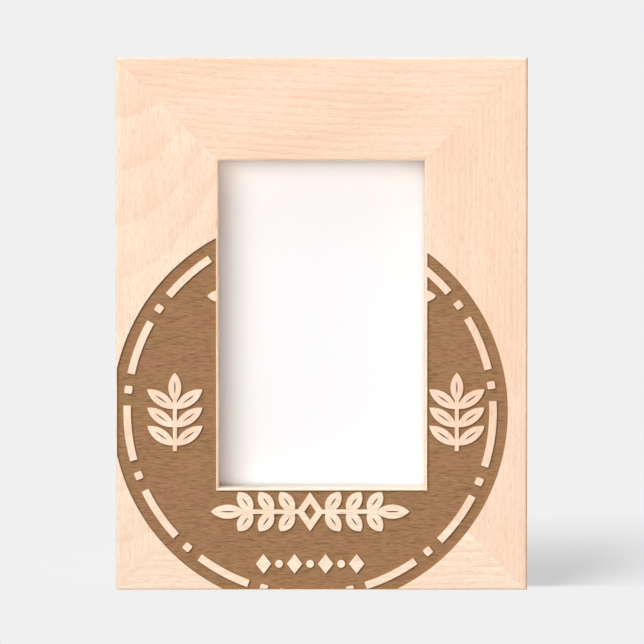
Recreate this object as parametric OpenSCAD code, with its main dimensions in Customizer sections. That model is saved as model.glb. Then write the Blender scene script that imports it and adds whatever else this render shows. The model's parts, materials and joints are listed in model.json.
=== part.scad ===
// Engraved beech photo frame that leans back on an easel leg.
// Every piece is drawn upright: back face at y = 0, front face towards -Y, lower edge at z = 0.
// The whole frame is then leaned back on its lower rear edge, and the leg reaches the table.

/* [Print and window] */
// Width of the print
print_w = 101.6; // [85:0.1:130]
// Height of the print
print_h = 152.4; // [125:0.1:190]
// How far the front lip laps over each side of the print
lip_lap = 6.35; // [4:0.05:8]
// How far it laps over the top and the bottom of the print
end_lap = 5.45; // [4:0.05:8]
// Play between the glass and the wall of the rebate
rebate_play = 0.5; // [0.3:0.1:1]

/* [Rails] */
// Face width of each rail
rail_w = 44.45; // [38:0.05:60]
// Thickness of each rail
rail_t = 19; // [17:0.5:28]
// Radius of the eased front edges
front_ease_r = 1.1; // [0.4:0.1:2]
// Radius of the eased rear outer edge
rear_ease_r = 0.5; // [0.3:0.1:1.5]

/* [Stack in the rebate] */
// Thickness of the glass
glass_t = 2; // [1.5:0.1:3]
// Thickness of the print
print_t = 0.3; // [0.2:0.05:0.5]
// Thickness of the filler card
filler_t = 1.5; // [0.5:0.1:2]
// Thickness of the back board
board_t = 3; // [2.4:0.1:4]
// Play between two layers of the stack
stack_play = 0.05; // [0.02:0.01:0.1]

/* [Engraved disc and ring] */
// Depth of the engraving
engrave_d = 0.6; // [0.3:0.1:1.5]
// How far the engraving stops short of the eased edge round the window
engrave_inset = 0.1; // [0.1:0.1:2]
// Rim that it leaves along the outer edges
engrave_rim = 0.5; // [0.3:0.1:2]
// Radius of the engraved disc
disc_r = 85.5; // [70:0.1:95]
// Centre of the disc, across the frame
disc_x = -5.0; // [-12:0.1:12]
// Centre of the disc above the frame's lower edge
disc_z = 77.3; // [68:0.1:88]
// From the rim of the disc to the middle of the ring
ring_inset = 6.4; // [5:0.1:12]
// Width of the ring's dashes
dash_w = 3.3; // [2:0.05:5]
// Side of the square dots
dot_side = 3.4; // [2:0.05:5]
// Clear length between a dot and the next dash
dash_gap = 5.2; // [3:0.05:7]
// Number of dots in the ring
dot_count = 13; // [9:1:16]

/* [Engraved leaves] */
// Height of each sprig between the window and the ring
sprig_h = 34; // [24:0.5:44]
// Width of each sprig
sprig_w = 24; // [18:0.5:28]
// Width of a sprig's leaves
sprig_leaf_w = 5.6; // [3:0.1:6]
// Length of the garland under the window
garland_l = 86; // [60:1:100]
// Height of the garland
garland_h = 17; // [12:0.5:20]
// Clear face between the window and the garland
garland_gap = 1.9; // [1:0.1:3]
// Width of the garland's leaves
garland_leaf_w = 6.2; // [3:0.1:6.8]
// Length of the small border under the garland
border_l = 47; // [30:1:60]
// Height of the border's lozenges
border_h = 8.6; // [5:0.1:10]
// Middle of the border above the frame's lower edge
border_z = 11.4; // [9:0.1:14]
// Width of the vein cut into each leaf
vein_w = 0.6; // [0.4:0.1:1]

/* [Stand] */
// Lean of the frame from upright, in degrees
lean = 14; // [8:1:18]
// Opening angle of the leg, in degrees
leg_open = 26; // [20:1:34]
// From the top of the back board to the hinge pin
pin_drop = 40; // [30:0.5:60]
// Width of the leg at the hinge
leg_top_w = 34; // [32:0.5:50]
// Width of the leg at its foot
leg_foot_w = 56; // [40:0.5:80]
// Thickness of the leg
leg_t = 3; // [2:0.1:5]
// Clear space between the folded leg and the back
leg_gap = 0.3; // [0.3:0.05:1]

/* [Hinge] */
// Width of the hinge
hinge_w = 30; // [20:0.5:32]
// Height of each leaf from the pin
hinge_leaf_h = 20; // [14:0.5:28]
// Thickness of the hinge's sheet
leaf_t = 0.9; // [0.6:0.05:1.2]
// Radius of the hinge pin
pin_r = 1; // [0.8:0.05:1.5]
// Running play round the pin
pin_play = 0.05; // [0.02:0.01:0.09]
// Radius of a rivet's shank
rivet_r = 1.2; // [0.8:0.1:1.6]
// Radius of a rivet's head
rivet_head_r = 2.4; // [2:0.1:3]
// Height of a rivet's head
rivet_head_h = 0.8; // [0.5:0.1:1.2]

/* [Stay ribbon] */
// Width of the ribbon
ribbon_w = 10; // [6:0.5:14]
// Thickness of the ribbon
ribbon_t = 0.3; // [0.2:0.05:0.4]
// Length of each stapled end
ribbon_tab = 10; // [8:0.5:14]
// Thickness of the staple wire
staple_t = 0.5; // [0.4:0.05:0.7]
// How deep a staple's legs go
staple_d = 1.6; // [1:0.1:1.9]

/* [Turn buttons] */
// Thickness of a turn button
button_t = 1; // [0.8:0.1:1.6]
// Radius of its round end
button_r = 4; // [3.6:0.1:5]
// From its screw to its tip
button_reach = 15; // [13:0.5:18]
// Radius of its tip
button_tip_r = 2.4; // [1.5:0.1:3]
// From the rebate's wall to the screw
button_inset = 8; // [6:0.5:10]
// From the middle of the frame to a button's screw, up or down
button_rise = 50; // [44:0.5:52]
// Clear space under a button
button_gap = 0.2; // [0.15:0.05:0.4]
// Radius of the screw's shank
screw_r = 1.5; // [1.2:0.1:1.8]
// Running play of the button on its screw
screw_play = 0.08; // [0.03:0.01:0.1]
// Length of the screw in the wood
screw_l = 12; // [8:0.5:15]
// Radius of the screw's head
screw_head_r = 3; // [2.8:0.1:4]
// Height of the screw's head
screw_head_h = 1.7; // [1.4:0.1:2.2]
// Width of the recess for the driver
drive_w = 0.8; // [0.5:0.1:1.1]

/* [Corner V-nails] */
// Length of one wing of a V-nail
v_wing = 6; // [4:0.5:8]
// Thickness of a V-nail
v_t = 0.6; // [0.4:0.1:1]
// Depth of a V-nail in the wood
v_d = 9; // [6:0.5:12]
// Angle from the mitre to each wing, in degrees
v_angle = 50; // [40:1:60]

/* [Hangers and pads] */
// Length of a sawtooth hanger
hanger_l = 45; // [36:1:60]
// Width of a hanger
hanger_w = 9; // [7:0.5:12]
// Thickness of a hanger
hanger_t = 0.8; // [0.5:0.1:1.2]
// How far the toothed part stands off the wood
hanger_rise = 1.4; // [1:0.1:2.5]
// Number of notches
tooth_count = 7; // [5:1:9]
// Radius of a hanger nail
nail_r = 0.6; // [0.4:0.1:1]
// Radius of its head
nail_head_r = 1.7; // [1.2:0.1:2.2]
// Height of its head
nail_head_h = 0.5; // [0.3:0.1:0.8]
// Length of a nail in the wood
nail_l = 10; // [6:0.5:14]
// Radius of a felt pad
pad_r = 4; // [3:0.5:5]
// Thickness of a felt pad
pad_t = 1.2; // [0.8:0.1:2]
// From the corner's edges to the middle of a pad
pad_inset = 7.5; // [7:0.5:10]

/* [Hidden] */

$fn = 64;
// How far a cut runs past the face that it opens
overrun = 1;
// Play round a fixed pin, wire or nail in its hole
fixed_play = 0.05;

// Window, rebate and outline
sight_w = print_w - 2 * lip_lap;
sight_h = print_h - 2 * end_lap;
outer_w = sight_w + 2 * rail_w;
outer_h = sight_h + 2 * rail_w;
stack_lap = max(lip_lap, end_lap);
stack_w = sight_w + 2 * stack_lap;
stack_h = sight_h + 2 * stack_lap;
stack_z = rail_w - stack_lap;
rebate_w = stack_lap + rebate_play;
rebate_d = glass_t + print_t + filler_t + board_t + 4 * stack_play;

// Layers of the stack, front face of each
glass_y = -rebate_d + stack_play;
paper_y = glass_y + glass_t + stack_play;
filler_y = paper_y + print_t + stack_play;
board_y = -board_t;
print_z = rail_w - end_lap;

// Ring: the last stretch, where the pattern closes, is a little longer than the others
closing_share = 0.1243;
ring_r = disc_r - ring_inset;
ring_inner_r = ring_r - dash_w / 2;
ring_start = 8.4;
dot_step = 360 / (dot_count + closing_share);
gap_angle = (dot_side / 2 + dash_gap) / ring_r * 180 / PI;
dot_corner_share = 0.62;

// Leaves, as shares of the sprig or branch that carries them
stem_share = 0.32;
stem_reach_share = 0.8;
tip_leaf_share = 0.38;
first_pair_share = 0.12;
last_pair_share = 0.87;
vein_share = 0.72;
leaf_lift = 35;
pairs_per_sprig = 3;
lozenge_share = 0.7;
lozenge_hole_share = 0.42;
lozenge_root_share = 0.15;
peeping_leaf_l = 10;
peeping_leaf_w = 5;
peeping_leaf_share = 0.634;
border_lozenges = 4;
border_lozenge_share = 0.78;
border_dot_r = 1.7;

// Stand: the pin, the leg's length and the floor under the leaning frame
knuckle_r = pin_r + pin_play + leaf_t;
pin_y = leg_gap + knuckle_r;
pin_z = stack_z + stack_h - pin_drop;
leg_in = -knuckle_r;
leg_out = leg_in + leg_t;
leg_top_gap = 0.4;
leg_top = -knuckle_r - leg_top_gap;
rest_drop = rear_ease_r * (sin(lean) + cos(lean) - 1);
floor_at_edge = rest_drop / cos(lean);
foot_run = (pin_z - floor_at_edge - pin_y * tan(lean)) / (cos(leg_open) + sin(leg_open) * tan(lean));
foot_spare = 12;

// The frame's foremost line and the foot's rearmost one, once leaned, give the middle in Y
lean_front = -(rail_t - front_ease_r) * cos(lean) + front_ease_r * sin(lean) - front_ease_r;
out_run = (pin_z + leg_out * sin(leg_open) - floor_at_edge
        - (pin_y + leg_out * cos(leg_open)) * tan(lean))
    / (cos(leg_open) + sin(leg_open) * tan(lean));
foot_y = pin_y + leg_out * cos(leg_open) + out_run * sin(leg_open);
foot_z = pin_z + leg_out * sin(leg_open) - out_run * cos(leg_open);
lean_back = foot_y * cos(lean) + foot_z * sin(lean);
lean_shift = -(lean_front + lean_back) / 2;

// Hinge
knuckle_count = 5;
knuckle_gap = 0.2;
knuckle_w = hinge_w / knuckle_count;
pin_head_r_share = 1.5;
pin_head_h = 0.5;
rivet_shares = [[-0.33, 0.5], [0, 0.74], [0.33, 0.5]];
rivet_top_share = 0.6;

// Stay ribbon, stapled as far down the board as down the leg
ribbon_share = 0.56;
ribbon_run = ribbon_share * pin_z;
ribbon_z = pin_z - ribbon_run;
half_open = leg_open / 2;
staple_w = ribbon_w + 2 * staple_t + 4 * fixed_play;

// Turn buttons
button_x = sight_w / 2 + rebate_w + button_inset;
button_top = button_gap + button_t;
under_head = 0.1;
tail_share = 1.0;
head_top_share = 0.78;
drive_d_share = 0.6;
drive_l_share = 1.35;

// V-nails along each mitre, from the corner to the rebate
v_places_share = [0.36, 0.74];
v_sink = 0.3;

// Hangers
hanger_tab_share = 0.12;
hanger_slope_share = 0.06;
tooth_span_share = 0.5;
tooth_depth_share = 0.24;
hanger_nail_share = 0.44;

beech = [0.992, 0.871, 0.776];
black_paper = [0.13, 0.12, 0.12];
steel = [0.72, 0.72, 0.73];
brass = [0.78, 0.66, 0.42];

// Turns a point about the pin by the leg's opening, from its folded place
function opened(y, z) = [
    pin_y + y * cos(leg_open) - z * sin(leg_open),
    pin_z + y * sin(leg_open) + z * cos(leg_open)
];

// Leans what was drawn upright, and centres it over the origin
module leaned() {
    translate([0, lean_shift, -rest_drop]) rotate([-lean, 0, 0]) children();
}

// Opens what was drawn as on the folded leg, with the pin's axis at the origin
module on_leg() {
    translate([0, pin_y, pin_z]) rotate([leg_open, 0, 0]) children();
}

// Runs an outline drawn in Y and Z along X, to both sides of the middle
module along_x(length) {
    rotate([90, 0, 90]) translate([0, 0, -length / 2]) linear_extrude(length) children();
}

// Gives an outline drawn in X and Z a thickness, from y = from to y = to
module along_y(from, to) {
    translate([0, to, 0]) rotate([90, 0, 0]) linear_extrude(to - from) children();
}

// A round bar along Y, from y = from to y = to
module bar_y(r, from, to) {
    translate([0, to, 0]) rotate([90, 0, 0]) cylinder(r = r, h = to - from);
}

// What rounding takes off a corner at the origin whose edges run along +X and +Y
module corner_waste(r) {
    difference() {
        translate([-overrun, -overrun]) square(r + overrun);
        translate([r, r]) circle(r);
    }
}

// Section of a rail: x from the front face to the back, y from the outer edge to the window
module rail_section() {
    difference() {
        translate([-rail_t, 0]) square([rail_t, rail_w]);
        translate([-rebate_d, rail_w - rebate_w]) square([rebate_d + overrun, rebate_w + overrun]);
        translate([-rail_t, 0]) corner_waste(front_ease_r);
        translate([-rail_t, rail_w]) mirror([0, 1]) corner_waste(front_ease_r);
        mirror([1, 0]) corner_waste(rear_ease_r);
    }
}

// One rail along X, outer edge down, with its ends mitred
module rail(length) {
    far = length / 2 + overrun;
    near = length / 2 - rail_w - overrun;
    intersection() {
        along_x(length + 2 * overrun) rail_section();
        along_y(-rail_t - overrun, overrun)
            polygon([[-far, -overrun], [far, -overrun], [near, rail_w + overrun], [-near, rail_w + overrun]]);
    }
}

// The part of the front face that the engraving may cover
module flat_face() {
    margin = front_ease_r + engrave_inset;
    rim = engrave_rim;
    difference() {
        translate([rim - outer_w / 2, rim]) square([outer_w - 2 * rim, outer_h - 2 * rim]);
        translate([-sight_w / 2 - margin, rail_w - margin])
            square([sight_w + 2 * margin, sight_h + 2 * margin]);
    }
}

// A stretch of the ring between two angles
module dash(from, to) {
    reach = ring_r + 2 * dash_w;
    intersection() {
        difference() {
            circle(ring_r + dash_w / 2);
            circle(ring_inner_r);
        }
        polygon([[0, 0], reach * [cos(from), sin(from)], reach * [cos(to), sin(to)]]);
    }
}

// A square dot with its corners taken off
module dot() {
    intersection() {
        square(dot_side, center = true);
        circle(dot_corner_share * dot_side);
    }
}

// Dots and dashes in turn round the disc
module ring() {
    for (i = [0 : dot_count - 1]) {
        here = ring_start + i * dot_step;
        next = i < dot_count - 1 ? here + dot_step : ring_start + 360;
        rotate(here) translate([ring_r, 0]) dot();
        dash(here + gap_angle, next - gap_angle);
    }
}

// A pointed oval along +X from the origin
module pointed_oval(length, width) {
    r = (length * length + width * width) / (4 * width);
    intersection() {
        translate([length / 2, r - width / 2]) circle(r);
        translate([length / 2, width / 2 - r]) circle(r);
    }
}

// A leaf along +X with its stalk at the origin, split by its vein
module leaf(length, width) {
    difference() {
        pointed_oval(length, width);
        translate([(1 - vein_share) * length, 0]) pointed_oval((2 * vein_share - 1) * length, vein_w);
    }
}

// A sprig that grows along +Y: a stem, pairs of side leaves and a leaf at the tip
module sprig(height, width, leaf_w) {
    stem_w = stem_share * leaf_w;
    tip_l = tip_leaf_share * height;
    side_l = width / 2 / cos(leaf_lift);
    stem_l = height - tip_l;
    pitch_share = (last_pair_share - first_pair_share) / (pairs_per_sprig - 1);
    translate([-stem_w / 2, 0]) square([stem_w, height - stem_reach_share * tip_l]);
    translate([0, stem_l]) rotate(90) leaf(tip_l, leaf_w);
    for (i = [0 : pairs_per_sprig - 1], side = [0, 1])
        mirror([side, 0])
            translate([0, (first_pair_share + i * pitch_share) * stem_l]) rotate(leaf_lift) leaf(side_l, leaf_w);
}

// A four-cornered lozenge
module lozenge(width, height) {
    polygon([[-width / 2, 0], [0, -height / 2], [width / 2, 0], [0, height / 2]]);
}

// Two branches that grow away from an open lozenge
module garland() {
    middle_w = lozenge_share * garland_h;
    root = lozenge_root_share * middle_w;
    branch_l = (garland_l - middle_w) / 2 + root;
    difference() {
        lozenge(middle_w, garland_h);
        lozenge(lozenge_hole_share * middle_w, lozenge_hole_share * garland_h);
    }
    for (side = [-1, 1])
        translate([side * (middle_w / 2 - root), 0])
            rotate(-90 * side) sprig(branch_l, garland_h, garland_leaf_w);
}

// A row of small lozenges with a dot between each two
module border() {
    width = border_lozenge_share * border_h;
    pitch = (border_l - width) / (border_lozenges - 1);
    for (i = [0 : border_lozenges - 1])
        translate([i * pitch - (border_l - width) / 2, 0]) {
            lozenge(width, border_h);
            if (i < border_lozenges - 1) translate([pitch / 2, 0]) circle(border_dot_r);
        }
}

// The whole engraved field, less everything that stays at the height of the face
module engraved_field() {
    difference() {
        intersection() {
            translate([disc_x, disc_z]) circle(disc_r);
            flat_face();
        }
        translate([disc_x, disc_z]) ring();
        for (side = [-1, 1]) {
            translate([(side * (sight_w / 2 + ring_inner_r) + disc_x) / 2, disc_z - sprig_h / 2])
                sprig(sprig_h, sprig_w, sprig_leaf_w);
            translate([side * (sight_w / 2 - peeping_leaf_l / 2), disc_z + peeping_leaf_share * ring_r])
                rotate(side > 0 ? 0 : 180) pointed_oval(peeping_leaf_l, peeping_leaf_w);
        }
        translate([disc_x, rail_w - garland_gap - garland_h / 2]) garland();
        translate([disc_x, border_z]) border();
    }
}

// What the laser takes out of the front face
module engraving() {
    along_y(-rail_t - overrun, engrave_d - rail_t) engraved_field();
}

// One V-nail's outline, its point at the origin and its wings towards -Y
module v_outline(play) {
    for (side = [-1, 1])
        rotate(side * v_angle - 90)
            translate([-v_t / 2 - play, -v_t / 2 - play]) square([v_wing + v_t / 2 + 2 * play, v_t + 2 * play]);
}

// V-nails on the four mitres, their points towards the window
module v_nails(play, sink) {
    mitre_l = (rail_w - rebate_w) * sqrt(2);
    for (side = [0, 1], top = [0, 1], place = v_places_share)
        translate([0, 0, top * outer_h]) mirror([0, 0, top]) mirror([side, 0, 0])
            along_y(-v_d - play, -sink)
                translate([-outer_w / 2, 0]) rotate(-45) translate([0, place * mitre_l]) v_outline(play);
}

// The places of the turn buttons' screws, as side and height signs
module at_button(side, up) {
    translate([side * button_x, 0, outer_h / 2 + up * button_rise]) children();
}

// Bores for the screws
module screw_bores(side) {
    for (up = [-1, 1])
        at_button(side, up) bar_y(screw_r + fixed_play, -screw_l - fixed_play, overrun);
}

// Where the hangers sit: on the top rail, and on the left stile for the frame laid on its side
module at_top_hanger() {
    translate([0, 0, outer_h - rail_w / 2]) children();
}

module at_side_hanger() {
    translate([-outer_w / 2 + rail_w / 2, 0, outer_h / 2]) rotate([0, -90, 0]) children();
}

// A nail, or with play its hole, at both ends of a hanger
module hanger_nail_pair(r, from, to) {
    for (side = [-1, 1])
        translate([side * hanger_nail_share * hanger_l, 0, 0]) bar_y(r, from, to);
}

module hanger_nail_holes() {
    hanger_nail_pair(nail_r + fixed_play, -nail_l - fixed_play, hanger_t + overrun);
}

// Sawtooth hanger along X on the plane y = 0: two tabs and a raised bar notched along its lower edge
module hanger() {
    half = hanger_l / 2;
    tab = half - hanger_tab_share * hanger_l;
    slope = tab - hanger_slope_share * hanger_l;
    pitch = tooth_span_share * hanger_l / tooth_count;
    depth = tooth_depth_share * hanger_w;
    difference() {
        translate([0, 0, -hanger_w / 2]) linear_extrude(hanger_w)
            polygon([
                [-half, 0], [-tab, 0], [-slope, hanger_rise], [slope, hanger_rise], [tab, 0], [half, 0],
                [half, hanger_t], [tab, hanger_t], [slope, hanger_rise + hanger_t],
                [-slope, hanger_rise + hanger_t], [-tab, hanger_t], [-half, hanger_t]
            ]);
        along_y(-overrun, hanger_rise + hanger_t + overrun)
            for (i = [0 : tooth_count - 1])
                translate([(i + 0.5) * pitch - tooth_span_share * hanger_l / 2, -hanger_w / 2])
                    polygon([[-pitch / 2, -overrun], [pitch / 2, -overrun], [pitch / 2, 0], [0, depth], [-pitch / 2, 0]]);
        hanger_nail_holes();
    }
}

// Rivet holes and rivets share these places, measured from the pin
module at_rivets(down) {
    for (share = rivet_shares)
        translate([share[0] * hinge_w, 0, (down ? -1 : 1) * share[1] * hinge_leaf_h]) children();
}

// One hinge leaf, its plate from y = plate on, its knuckles at every second place from first
module hinge_leaf(plate, first, down) {
    plate_start = knuckle_r + knuckle_gap;
    flip = down ? 1 : 0;
    difference() {
        union() {
            mirror([0, 0, flip]) translate([-hinge_w / 2, plate, plate_start])
                cube([hinge_w, leaf_t, hinge_leaf_h - plate_start]);
            for (i = [first : 2 : knuckle_count - 1])
                translate([(i + 0.5) * knuckle_w - hinge_w / 2, 0, 0]) {
                    along_x(knuckle_w - knuckle_gap) circle(knuckle_r);
                    mirror([0, 0, flip]) along_x(knuckle_w - knuckle_gap) {
                        translate([plate, 0]) square([leaf_t, plate_start + leaf_t]);
                        translate([min(plate, 0), 0]) square([max(abs(plate), leaf_t), leaf_t]);
                    }
                }
        }
        along_x(hinge_w + 2 * overrun) circle(pin_r + pin_play);
        at_rivets(down) bar_y(rivet_r + fixed_play, plate - overrun, plate + leaf_t + overrun);
    }
}

// Rivets whose heads sit on y = head, with shanks to y = end
module rivets(head, end, down) {
    at_rivets(down) {
        bar_y(rivet_r, end, head + rivet_head_h / 2);
        translate([0, head, 0]) rotate([-90, 0, 0])
            cylinder(r1 = rivet_head_r, r2 = rivet_top_share * rivet_head_r, h = rivet_head_h);
    }
}

// A staple over a ribbon that lies on y = 0, its legs towards -Y, or with play their holes
module staple(play) {
    reach = staple_w / 2 + play;
    wire = staple_t + 2 * play;
    for (side = [-1, 1])
        translate([side * (reach - wire / 2) - wire / 2, -staple_d - play, -wire / 2])
            cube([wire, staple_d + play + ribbon_t + staple_t, wire]);
    if (play == 0)
        translate([-reach, ribbon_t, -wire / 2]) cube([2 * reach, staple_t, wire]);
}

module at_board_staple() {
    translate([0, 0, ribbon_z + ribbon_tab / 2]) children();
}

module at_leg_staple() {
    translate([0, leg_in, -ribbon_run - ribbon_tab / 2]) rotate([0, 0, 180]) children();
}

// A turn button on y = 0 that points along +X from its screw
module turn_button() {
    difference() {
        along_y(button_gap, button_top) {
            circle(button_r);
            polygon([
                [0, -button_r], [button_reach - button_tip_r, -button_tip_r],
                [button_reach - button_tip_r, button_tip_r], [0, button_r]
            ]);
            translate([button_reach - button_tip_r, 0]) circle(button_tip_r);
            translate([-tail_share * button_r, 0]) circle(button_tip_r);
        }
        bar_y(screw_r + screw_play, button_gap - overrun, button_top + overrun);
    }
}

module placed_button(side, up) {
    color(steel) leaned() at_button(side, up) mirror([side > 0 ? 1 : 0, 0, 0]) turn_button();
}

module top_rail() {
    color(beech) leaned() difference() {
        translate([0, 0, outer_h]) rotate([0, 180, 0]) rail(outer_w);
        v_nails(fixed_play, -overrun);
        at_top_hanger() hanger_nail_holes();
    }
}

module bottom_rail() {
    color(beech) leaned() difference() {
        rail(outer_w);
        engraving();
        v_nails(fixed_play, -overrun);
    }
}

module left_stile() {
    color(beech) leaned() difference() {
        translate([-outer_w / 2, 0, outer_h / 2]) rotate([0, 90, 0]) rail(outer_h);
        engraving();
        v_nails(fixed_play, -overrun);
        screw_bores(-1);
        at_side_hanger() hanger_nail_holes();
    }
}

module right_stile() {
    color(beech) leaned() difference() {
        translate([outer_w / 2, 0, outer_h / 2]) rotate([0, -90, 0]) rail(outer_h);
        engraving();
        v_nails(fixed_play, -overrun);
        screw_bores(1);
    }
}

module corner_v_nails() {
    color(steel) leaned() v_nails(0, v_sink);
}

// A sheet that fills the rebate
module sheet(front, thickness) {
    translate([-stack_w / 2, front, stack_z]) cube([stack_w, thickness, stack_h]);
}

module glass_pane() {
    color("lightblue") leaned() sheet(glass_y, glass_t);
}

module photo_print() {
    color("white") leaned() translate([-print_w / 2, paper_y, print_z]) cube([print_w, print_t, print_h]);
}

module filler_card() {
    color("tan") leaned() sheet(filler_y, filler_t);
}

module back_board() {
    color(black_paper) leaned() difference() {
        sheet(board_y, board_t);
        translate([0, 0, pin_z]) at_rivets(false) bar_y(rivet_r + fixed_play, board_y - overrun, overrun);
        at_board_staple() staple(fixed_play);
    }
}

module turn_button_left_lower() {
    placed_button(-1, -1);
}

module turn_button_left_upper() {
    placed_button(-1, 1);
}

module turn_button_right_lower() {
    placed_button(1, -1);
}

module turn_button_right_upper() {
    placed_button(1, 1);
}

module turn_button_screws() {
    head_y = button_top + under_head;
    color(steel) leaned()
        for (side = [-1, 1], up = [-1, 1])
            at_button(side, up) difference() {
                union() {
                    bar_y(screw_r, -screw_l, head_y + screw_head_h / 2);
                    translate([0, head_y, 0]) rotate([-90, 0, 0])
                        cylinder(r1 = screw_head_r, r2 = head_top_share * screw_head_r, h = screw_head_h);
                }
                along_y(head_y + (1 - drive_d_share) * screw_head_h, head_y + screw_head_h + overrun)
                    for (turn = [0, 90])
                        rotate(45 + turn) square([drive_l_share * screw_head_r, drive_w], center = true);
            }
}

module hinge_board_leaf() {
    color(brass) leaned() translate([0, pin_y, pin_z]) hinge_leaf(-pin_y, 0, false);
}

module hinge_leg_leaf() {
    color(brass) leaned() on_leg() hinge_leaf(leg_out, 1, true);
}

module hinge_pin() {
    head_r = pin_head_r_share * pin_r;
    color(steel) leaned() translate([0, pin_y, pin_z]) {
        along_x(hinge_w + 2 * knuckle_gap) circle(pin_r);
        for (side = [-1, 1])
            translate([side * (hinge_w / 2 + knuckle_gap + pin_head_h / 2), 0, 0])
                along_x(pin_head_h) circle(head_r);
    }
}

module hinge_board_rivets() {
    color(steel) leaned() translate([0, 0, pin_z]) rivets(leaf_t, board_y, false);
}

module hinge_leg_rivets() {
    color(steel) leaned() on_leg() rivets(leg_out + leaf_t, leg_in, true);
}

// The leg widens from the hinge to its foot, which is cut to the floor
module easel_leg() {
    far = foot_run + foot_spare;
    far_w = leg_top_w + (leg_foot_w - leg_top_w) * far / foot_run;
    reach = outer_w + outer_h;
    color(black_paper) difference() {
        leaned() on_leg() difference() {
            along_y(leg_in, leg_out) polygon([
                [-leg_top_w / 2, leg_top], [leg_top_w / 2, leg_top], [far_w / 2, -far], [-far_w / 2, -far]
            ]);
            at_rivets(true) bar_y(rivet_r + fixed_play, leg_in - overrun, leg_out + overrun);
            at_leg_staple() staple(fixed_play);
        }
        translate([-reach, -reach, -reach]) cube([2 * reach, 2 * reach, reach]);
    }
}

// A strip from the board to the leg, with a flat end stapled to each
module stay_ribbon() {
    t = ribbon_t;
    board_turn = t * (1 + sin(half_open)) / cos(half_open);
    leg_turn = t * (1 - sin(half_open)) / cos(half_open);
    color(black_paper) leaned() along_x(ribbon_w) polygon([
        [0, ribbon_z + ribbon_tab],
        [0, ribbon_z],
        opened(leg_in - t, -ribbon_run - leg_turn),
        opened(leg_in - t, -ribbon_run - ribbon_tab),
        opened(leg_in, -ribbon_run - ribbon_tab),
        opened(leg_in, -ribbon_run),
        [t, ribbon_z + board_turn],
        [t, ribbon_z + ribbon_tab]
    ]);
}

module board_staple() {
    color(steel) leaned() at_board_staple() staple(0);
}

module leg_staple() {
    color(steel) leaned() on_leg() at_leg_staple() staple(0);
}

module sawtooth_hanger_top() {
    color(brass) leaned() at_top_hanger() hanger();
}

module sawtooth_hanger_side() {
    color(brass) leaned() at_side_hanger() hanger();
}

module hanger_nail_set() {
    hanger_nail_pair(nail_r, -nail_l, hanger_t + nail_head_h / 2);
    hanger_nail_pair(nail_head_r, hanger_t, hanger_t + nail_head_h);
}

module hanger_nails() {
    color(brass) leaned() {
        at_top_hanger() hanger_nail_set();
        at_side_hanger() hanger_nail_set();
    }
}

module wall_pads() {
    color(black_paper) leaned()
        for (side = [-1, 1], up = [-1, 1])
            translate([side * (outer_w / 2 - pad_inset), 0, outer_h / 2 + up * (outer_h / 2 - pad_inset)])
                bar_y(pad_r, 0, pad_t);
}

top_rail();
bottom_rail();
left_stile();
right_stile();
corner_v_nails();
glass_pane();
photo_print();
filler_card();
back_board();
turn_button_left_lower();
turn_button_left_upper();
turn_button_right_lower();
turn_button_right_upper();
turn_button_screws();
hinge_board_leaf();
hinge_leg_leaf();
hinge_pin();
hinge_board_rivets();
hinge_leg_rivets();
easel_leg();
stay_ribbon();
board_staple();
leg_staple();
sawtooth_hanger_top();
sawtooth_hanger_side();
hanger_nails();
wall_pads();
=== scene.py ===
# Engraved beech photo frame on its easel leg. The CAD pieces keep their shape and get their finish here. The
# stay ribbon and the felt pads are modelled, and the frame stands on a seamless pale floor.
import json
import math

import bmesh
import bpy
from mathutils import Matrix, Vector, noise


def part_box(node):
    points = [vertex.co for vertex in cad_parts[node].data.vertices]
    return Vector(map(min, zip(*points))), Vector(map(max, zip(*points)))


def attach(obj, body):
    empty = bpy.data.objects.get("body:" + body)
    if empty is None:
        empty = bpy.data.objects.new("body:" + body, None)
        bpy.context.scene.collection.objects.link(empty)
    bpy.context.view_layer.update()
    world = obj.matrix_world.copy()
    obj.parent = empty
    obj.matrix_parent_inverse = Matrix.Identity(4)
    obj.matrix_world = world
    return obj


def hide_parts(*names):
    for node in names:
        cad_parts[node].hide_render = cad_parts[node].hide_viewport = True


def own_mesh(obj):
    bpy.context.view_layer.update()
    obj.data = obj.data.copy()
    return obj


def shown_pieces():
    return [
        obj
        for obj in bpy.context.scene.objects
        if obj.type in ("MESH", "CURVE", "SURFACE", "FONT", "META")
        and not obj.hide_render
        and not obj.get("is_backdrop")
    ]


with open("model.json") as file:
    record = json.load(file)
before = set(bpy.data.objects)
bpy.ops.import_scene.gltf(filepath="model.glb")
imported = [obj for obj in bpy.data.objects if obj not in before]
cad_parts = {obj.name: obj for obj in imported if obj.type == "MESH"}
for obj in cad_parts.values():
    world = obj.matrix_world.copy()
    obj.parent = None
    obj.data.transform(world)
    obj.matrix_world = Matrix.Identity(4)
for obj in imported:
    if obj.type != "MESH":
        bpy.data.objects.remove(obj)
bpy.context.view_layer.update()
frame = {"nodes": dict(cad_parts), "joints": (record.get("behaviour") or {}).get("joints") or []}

# Rails: four lengths of sanded European beech, mitred, glued and held by V-nails. A laser has burnt the
# round badge 0.6 mm deep into the face, and left the ring, sprigs, garland and border standing in bare wood.
RAILS = ("top_rail", "bottom_rail", "left_stile", "right_stile")

# Millimetres, on the frame stood upright: X to the right, Y to the rear and Z up. The disc's middle is given
# from the middle of the lower edge.
MM = 0.001
RAIL_W = 44.45
EASE = 1.1
DISC_X = -5.0
DISC_Z = 77.3
DISC_R = 85.5
BURN_D = 0.6
BURN_RIM = 0.5
BURN_INSET = 0.1
JUST_INSIDE = 0.05
WELL_PAST = 0.2

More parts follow.
